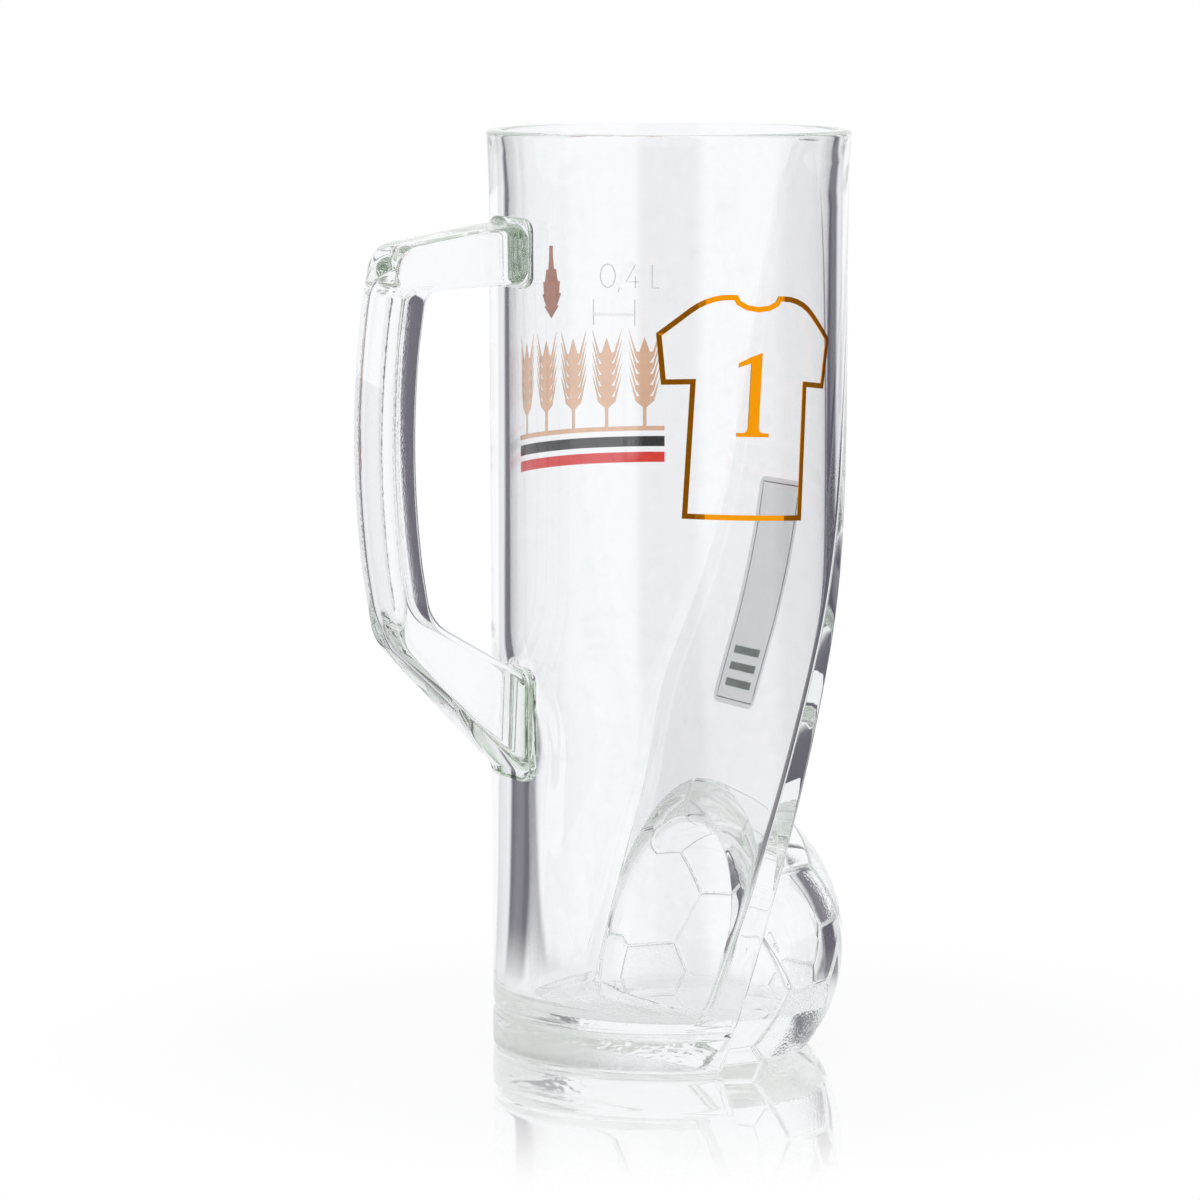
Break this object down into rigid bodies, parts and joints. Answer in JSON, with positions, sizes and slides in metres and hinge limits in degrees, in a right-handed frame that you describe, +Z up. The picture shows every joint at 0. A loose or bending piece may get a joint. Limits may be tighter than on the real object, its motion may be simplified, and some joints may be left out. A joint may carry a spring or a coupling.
{
  "type": "beer mug",
  "caption": "Tall clear glass beer mug with a slanting flat panel, a hollow football at its foot, a strap handle and thin fired prints.",
  "frame": {"origin": "on the axis of the round wall, on the plane that the mug stands on", "axes": "+Z up along the mug, +X towards the panel and the football, -X towards the handle, -Y towards the shirt print"},
  "size_m": [0.1076, 0.0762, 0.193],
  "materials": {
    "body_glass": "clear, faint green in the thick parts, polished by fire",
    "ball_glass": "clear, moulded, with stippled pentagons",
    "handle_glass": "clear, pressed, with a stippled grip",
    "gold_print": "fired gold, glossy",
    "copper_print": "fired copper colour, satin",
    "black_print": "fired enamel, satin",
    "red_print": "fired enamel, satin",
    "white_print": "fired enamel, thin",
    "pale_field_print": "fired enamel, thin and translucent"
  },
  "bodies": {
    "root": {"glass_body": "body_glass", "football": "ball_glass", "handle": "handle_glass", "shirt_outline_print": "gold_print", "shirt_number_print": "gold_print", "fill_line_print": "white_print", "barley_row_print": "copper_print", "black_stripe_print": "black_print", "red_stripe_print": "red_print", "hop_cone_print": "copper_print", "panel_label_print": "pale_field_print"}
  },
  "joints": []
}
